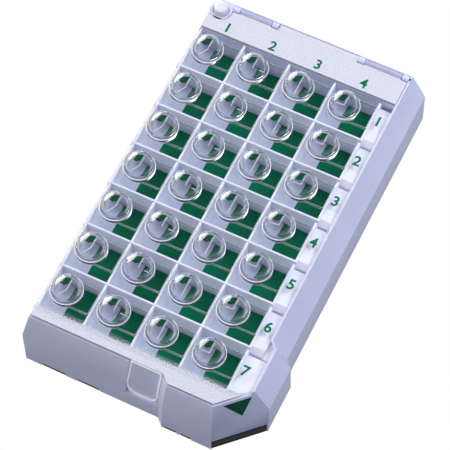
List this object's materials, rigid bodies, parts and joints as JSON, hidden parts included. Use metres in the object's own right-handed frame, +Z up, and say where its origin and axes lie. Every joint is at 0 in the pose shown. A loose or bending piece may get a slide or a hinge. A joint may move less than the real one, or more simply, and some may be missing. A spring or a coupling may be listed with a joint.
{
  "type": "weekly pill drawer organizer",
  "caption": "Pill box with a grid of cells under clear domed press flaps, a hinged clear lid with a latch tongue, a round corner button and a slide-out dose drawer.",
  "frame": {"origin": "on the base plane, under the middle of the grid of cells", "axes": "+X to the right, +Y to the hinged back, +Z up"},
  "size_m": [0.1221, 0.2107, 0.0437],
  "materials": {
    "white_shell": "glossy injection-moulded styrene",
    "tray_white": "glossy, slightly milky moulding",
    "dark_base": "fine matte texture",
    "green_sheet": "smooth sheet",
    "clear_lid": "clear, frosted at the front and back bands",
    "clear_flap": "clear and polished",
    "button_white": "smooth",
    "hopper_white": "plain moulded",
    "drawer_dark": "fine matte texture",
    "steel": "plain wire and pin stock"
  },
  "bodies": {
    "housing": {"upper_housing": "white_shell", "base_plate": "dark_base", "base_screws": "steel", "sheet_frame": "hopper_white", "collector": "hopper_white", "floor_sheet": "green_sheet", "day_rack_1": "tray_white", "day_rack_2": "tray_white", "day_rack_3": "tray_white", "day_rack_4": "tray_white", "day_rack_5": "tray_white", "day_rack_6": "tray_white", "day_rack_7": "tray_white", "hinge_pin_left": "steel", "hinge_pin_right": "steel", "button_spring": "steel"},
    "lid": {"lid": "clear_lid", "lid_hinge_band": "clear_lid", "latch_tongue": "clear_lid"},
    "button": {"corner_button": "button_white"},
    "drawer": {"dose_drawer": "drawer_dark"},
    "flap_1_1": {"flap_1_1": "clear_flap"},
    "flap_1_2": {"flap_1_2": "clear_flap"},
    "flap_1_3": {"flap_1_3": "clear_flap"},
    "flap_1_4": {"flap_1_4": "clear_flap"},
    "flap_2_1": {"flap_2_1": "clear_flap"},
    "flap_2_2": {"flap_2_2": "clear_flap"},
    "flap_2_3": {"flap_2_3": "clear_flap"},
    "flap_2_4": {"flap_2_4": "clear_flap"},
    "flap_3_1": {"flap_3_1": "clear_flap"},
    "flap_3_2": {"flap_3_2": "clear_flap"},
    "flap_3_3": {"flap_3_3": "clear_flap"},
    "flap_3_4": {"flap_3_4": "clear_flap"},
    "flap_4_1": {"flap_4_1": "clear_flap"},
    "flap_4_2": {"flap_4_2": "clear_flap"},
    "flap_4_3": {"flap_4_3": "clear_flap"},
    "flap_4_4": {"flap_4_4": "clear_flap"},
    "flap_5_1": {"flap_5_1": "clear_flap"},
    "flap_5_2": {"flap_5_2": "clear_flap"},
    "flap_5_3": {"flap_5_3": "clear_flap"},
    "flap_5_4": {"flap_5_4": "clear_flap"},
    "flap_6_1": {"flap_6_1": "clear_flap"},
    "flap_6_2": {"flap_6_2": "clear_flap"},
    "flap_6_3": {"flap_6_3": "clear_flap"},
    "flap_6_4": {"flap_6_4": "clear_flap"},
    "flap_7_1": {"flap_7_1": "clear_flap"},
    "flap_7_2": {"flap_7_2": "clear_flap"},
    "flap_7_3": {"flap_7_3": "clear_flap"},
    "flap_7_4": {"flap_7_4": "clear_flap"}
  },
  "joints": [
    {"name": "lid_hinge", "type": "hinge", "parent": "housing", "child": "lid", "pos_m": [0, 0.1037, 0.0334], "axis": [-1, 0, 0], "range_deg": [0, 105]},
    {"name": "button_press", "type": "slide", "parent": "housing", "child": "button", "axis": [0, 0, -1], "range_m": [0, 0.002], "stiffness_N_per_m": 400, "springref_m": -0.001, "deforming": ["button_spring"]},
    {"name": "drawer_slide", "type": "slide", "parent": "housing", "child": "drawer", "axis": [0.7071, -0.7071, 0], "range_m": [0, 0.016]},
    {"name": "flap_1_1_press", "type": "hinge", "parent": "lid", "child": "flap_1_1", "pos_m": [-0.0257, 0.0753, 0.0334], "axis": [0, -1, 0], "range_deg": [0, 8], "stiffness_Nm_per_rad": 0.2},
    {"name": "flap_1_2_press", "type": "hinge", "parent": "lid", "child": "flap_1_2", "pos_m": [-0.0007, 0.0753, 0.0334], "axis": [0, -1, 0], "range_deg": [0, 8], "stiffness_Nm_per_rad": 0.2},
    {"name": "flap_1_3_press", "type": "hinge", "parent": "lid", "child": "flap_1_3", "pos_m": [0.0243, 0.0753, 0.0334], "axis": [0, -1, 0], "range_deg": [0, 8], "stiffness_Nm_per_rad": 0.2},
    {"name": "flap_1_4_press", "type": "hinge", "parent": "lid", "child": "flap_1_4", "pos_m": [0.0493, 0.0753, 0.0334], "axis": [0, -1, 0], "range_deg": [0, 8], "stiffness_Nm_per_rad": 0.2},
    {"name": "flap_2_1_press", "type": "hinge", "parent": "lid", "child": "flap_2_1", "pos_m": [-0.0257, 0.0503, 0.0334], "axis": [0, -1, 0], "range_deg": [0, 8], "stiffness_Nm_per_rad": 0.2},
    {"name": "flap_2_2_press", "type": "hinge", "parent": "lid", "child": "flap_2_2", "pos_m": [-0.0007, 0.0503, 0.0334], "axis": [0, -1, 0], "range_deg": [0, 8], "stiffness_Nm_per_rad": 0.2},
    {"name": "flap_2_3_press", "type": "hinge", "parent": "lid", "child": "flap_2_3", "pos_m": [0.0243, 0.0503, 0.0334], "axis": [0, -1, 0], "range_deg": [0, 8], "stiffness_Nm_per_rad": 0.2},
    {"name": "flap_2_4_press", "type": "hinge", "parent": "lid", "child": "flap_2_4", "pos_m": [0.0493, 0.0503, 0.0334], "axis": [0, -1, 0], "range_deg": [0, 8], "stiffness_Nm_per_rad": 0.2},
    {"name": "flap_3_1_press", "type": "hinge", "parent": "lid", "child": "flap_3_1", "pos_m": [-0.0257, 0.0253, 0.0334], "axis": [0, -1, 0], "range_deg": [0, 8], "stiffness_Nm_per_rad": 0.2},
    {"name": "flap_3_2_press", "type": "hinge", "parent": "lid", "child": "flap_3_2", "pos_m": [-0.0007, 0.0253, 0.0334], "axis": [0, -1, 0], "range_deg": [0, 8], "stiffness_Nm_per_rad": 0.2},
    {"name": "flap_3_3_press", "type": "hinge", "parent": "lid", "child": "flap_3_3", "pos_m": [0.0243, 0.0253, 0.0334], "axis": [0, -1, 0], "range_deg": [0, 8], "stiffness_Nm_per_rad": 0.2},
    {"name": "flap_3_4_press", "type": "hinge", "parent": "lid", "child": "flap_3_4", "pos_m": [0.0493, 0.0253, 0.0334], "axis": [0, -1, 0], "range_deg": [0, 8], "stiffness_Nm_per_rad": 0.2},
    {"name": "flap_4_1_press", "type": "hinge", "parent": "lid", "child": "flap_4_1", "pos_m": [-0.0257, 0.0003, 0.0334], "axis": [0, -1, 0], "range_deg": [0, 8], "stiffness_Nm_per_rad": 0.2},
    {"name": "flap_4_2_press", "type": "hinge", "parent": "lid", "child": "flap_4_2", "pos_m": [-0.0007, 0.0003, 0.0334], "axis": [0, -1, 0], "range_deg": [0, 8], "stiffness_Nm_per_rad": 0.2},
    {"name": "flap_4_3_press", "type": "hinge", "parent": "lid", "child": "flap_4_3", "pos_m": [0.0243, 0.0003, 0.0334], "axis": [0, -1, 0], "range_deg": [0, 8], "stiffness_Nm_per_rad": 0.2},
    {"name": "flap_4_4_press", "type": "hinge", "parent": "lid", "child": "flap_4_4", "pos_m": [0.0493, 0.0003, 0.0334], "axis": [0, -1, 0], "range_deg": [0, 8], "stiffness_Nm_per_rad": 0.2},
    {"name": "flap_5_1_press", "type": "hinge", "parent": "lid", "child": "flap_5_1", "pos_m": [-0.0257, -0.0247, 0.0334], "axis": [0, -1, 0], "range_deg": [0, 8], "stiffness_Nm_per_rad": 0.2},
    {"name": "flap_5_2_press", "type": "hinge", "parent": "lid", "child": "flap_5_2", "pos_m": [-0.0007, -0.0247, 0.0334], "axis": [0, -1, 0], "range_deg": [0, 8], "stiffness_Nm_per_rad": 0.2},
    {"name": "flap_5_3_press", "type": "hinge", "parent": "lid", "child": "flap_5_3", "pos_m": [0.0243, -0.0247, 0.0334], "axis": [0, -1, 0], "range_deg": [0, 8], "stiffness_Nm_per_rad": 0.2},
    {"name": "flap_5_4_press", "type": "hinge", "parent": "lid", "child": "flap_5_4", "pos_m": [0.0493, -0.0247, 0.0334], "axis": [0, -1, 0], "range_deg": [0, 8], "stiffness_Nm_per_rad": 0.2},
    {"name": "flap_6_1_press", "type": "hinge", "parent": "lid", "child": "flap_6_1", "pos_m": [-0.0257, -0.0497, 0.0334], "axis": [0, -1, 0], "range_deg": [0, 8], "stiffness_Nm_per_rad": 0.2},
    {"name": "flap_6_2_press", "type": "hinge", "parent": "lid", "child": "flap_6_2", "pos_m": [-0.0007, -0.0497, 0.0334], "axis": [0, -1, 0], "range_deg": [0, 8], "stiffness_Nm_per_rad": 0.2},
    {"name": "flap_6_3_press", "type": "hinge", "parent": "lid", "child": "flap_6_3", "pos_m": [0.0243, -0.0497, 0.0334], "axis": [0, -1, 0], "range_deg": [0, 8], "stiffness_Nm_per_rad": 0.2},
    {"name": "flap_6_4_press", "type": "hinge", "parent": "lid", "child": "flap_6_4", "pos_m": [0.0493, -0.0497, 0.0334], "axis": [0, -1, 0], "range_deg": [0, 8], "stiffness_Nm_per_rad": 0.2},
    {"name": "flap_7_1_press", "type": "hinge", "parent": "lid", "child": "flap_7_1", "pos_m": [-0.0257, -0.0747, 0.0334], "axis": [0, -1, 0], "range_deg": [0, 8], "stiffness_Nm_per_rad": 0.2},
    {"name": "flap_7_2_press", "type": "hinge", "parent": "lid", "child": "flap_7_2", "pos_m": [-0.0007, -0.0747, 0.0334], "axis": [0, -1, 0], "range_deg": [0, 8], "stiffness_Nm_per_rad": 0.2},
    {"name": "flap_7_3_press", "type": "hinge", "parent": "lid", "child": "flap_7_3", "pos_m": [0.0243, -0.0747, 0.0334], "axis": [0, -1, 0], "range_deg": [0, 8], "stiffness_Nm_per_rad": 0.2},
    {"name": "flap_7_4_press", "type": "hinge", "parent": "lid", "child": "flap_7_4", "pos_m": [0.0493, -0.0747, 0.0334], "axis": [0, -1, 0], "range_deg": [0, 8], "stiffness_Nm_per_rad": 0.2}
  ]
}
